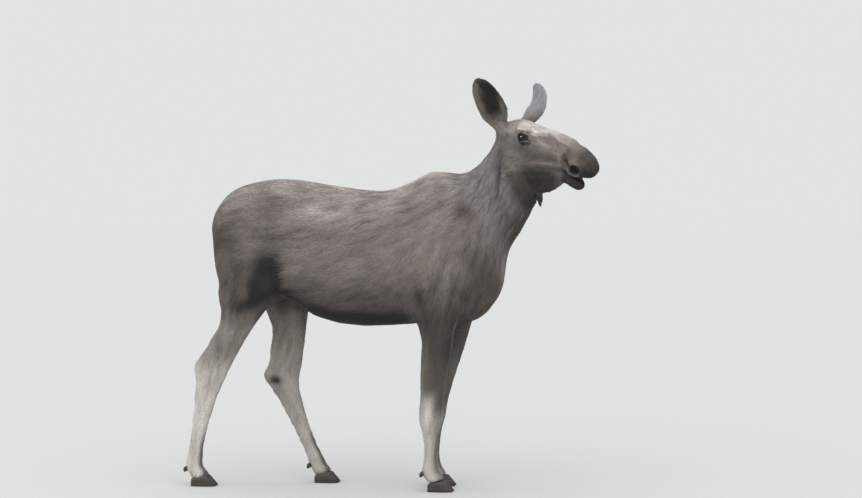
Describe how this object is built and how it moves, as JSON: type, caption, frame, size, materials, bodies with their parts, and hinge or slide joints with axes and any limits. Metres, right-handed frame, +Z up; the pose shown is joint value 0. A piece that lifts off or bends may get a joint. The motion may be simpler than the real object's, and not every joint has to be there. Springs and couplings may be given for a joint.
{
  "type": "moose",
  "caption": "Life-size standing moose cow without antlers, one hind foot back, head turned to its right, mouth a little open, small bell under the throat.",
  "frame": {"origin": "middle of the bounding box in plan, on the floor under the feet", "axes": "+X forward from tail to chest, +Y to the animal's left, +Z up"},
  "size_m": [2.2812, 0.5792, 2.2054],
  "materials": {
    "coat": "grey-brown hair, matt with a soft sheen along the back",
    "dark_coat": "dark grey-brown hair of the jaw and the bell, matt",
    "leg_coat": "pale grey hair of the legs, matt, with a darker stripe in front",
    "horn": "dark horn of hooves and dewclaws, dull",
    "eye": "wet, glossy, near black"
  },
  "bodies": {
    "root": {"trunk": "coat", "neck": "coat", "head": "coat", "right_eye": "eye", "left_eye": "eye", "lower_jaw": "dark_coat", "bell": "dark_coat", "right_ear": "coat", "left_ear": "coat", "right_fore_leg": "leg_coat", "right_fore_outer_claw": "horn", "right_fore_outer_dewclaw": "horn", "right_fore_inner_claw": "horn", "right_fore_inner_dewclaw": "horn", "left_fore_leg": "leg_coat", "left_fore_inner_claw": "horn", "left_fore_inner_dewclaw": "horn", "left_fore_outer_claw": "horn", "left_fore_outer_dewclaw": "horn", "right_hind_leg": "leg_coat", "right_hind_outer_claw": "horn", "right_hind_outer_dewclaw": "horn", "right_hind_inner_claw": "horn", "right_hind_inner_dewclaw": "horn", "left_hind_leg": "leg_coat", "left_hind_inner_claw": "horn", "left_hind_inner_dewclaw": "horn", "left_hind_outer_claw": "horn", "left_hind_outer_dewclaw": "horn", "tail": "coat"}
  },
  "joints": []
}
